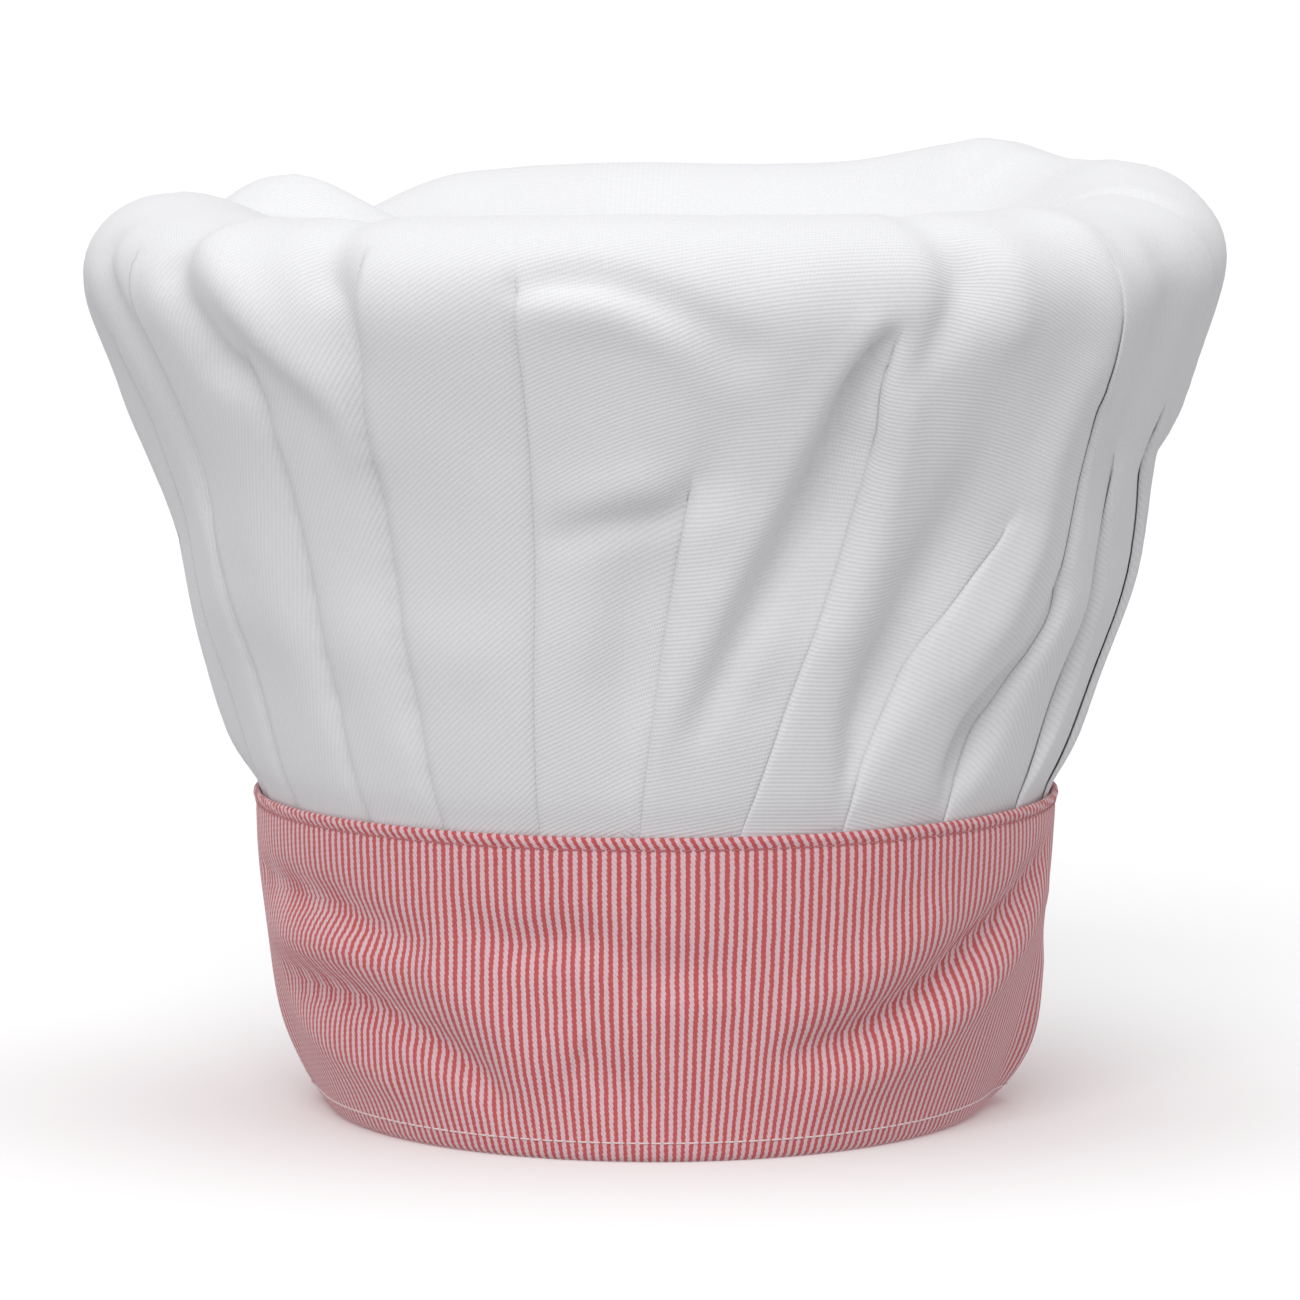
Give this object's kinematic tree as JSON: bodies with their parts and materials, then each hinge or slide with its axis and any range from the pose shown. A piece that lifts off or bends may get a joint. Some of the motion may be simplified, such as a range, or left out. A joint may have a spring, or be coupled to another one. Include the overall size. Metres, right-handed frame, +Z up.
{
  "type": "chef toque",
  "caption": "Soft pleated cloth hat with a wide flaring crown on a stiffened striped headband that closes at the back with a hook-and-loop tab.",
  "frame": {"origin": "middle of the head opening, level with the hem of the headband, which is the bottom centre of the bounding box", "axes": "+Z up through the crown, -Y out of the front of the hat, +Y out of the back closure, +X to the right of somebody who looks at the front"},
  "size_m": [0.2712, 0.2574, 0.2253],
  "materials": {
    "white_twill": "matt white cotton twill",
    "striped_twill": "matt cotton twill with fine upright red and white stripes",
    "white_thread": "polyester sewing thread with a slight sheen",
    "red_thread": "polyester sewing thread with a slight sheen",
    "felt": "matt bonded interlining",
    "hook_nylon": "woven nylon tape with stiff hooks",
    "loop_nylon": "woven nylon tape with soft loop pile",
    "label_satin": "white satin ribbon, blank"
  },
  "bodies": {
    "root": {"crown": "white_twill", "keyhole_binding": "white_twill", "keyhole_binding_thread": "white_thread", "headband": "striped_twill", "headband_stiffener": "felt", "top_edge_thread": "red_thread", "top_edge_bobbin_thread": "white_thread", "hem_thread": "white_thread", "hem_bobbin_thread": "white_thread", "tab_seam_thread": "red_thread", "bar_tack_left": "red_thread", "bar_tack_right": "red_thread", "loop_tape": "loop_nylon", "loop_tape_thread": "white_thread"},
    "tab": {"closure_tab": "striped_twill", "closure_tab_stiffener": "felt", "hook_tape": "hook_nylon", "hook_tape_thread": "white_thread"},
    "label": {"care_label": "label_satin"}
  },
  "joints": [
    {"name": "tab_peel", "type": "hinge", "parent": "root", "child": "tab", "pos_m": [-0.0148, 0.0958, 0.038], "axis": [0, 0, 1], "range_deg": [0, 110]},
    {"name": "label_flip", "type": "hinge", "parent": "root", "child": "label", "pos_m": [-0.03847, 0.0825, 0.0763], "axis": [-0.9063, -0.4226, 0], "range_deg": [0, 100]}
  ]
}
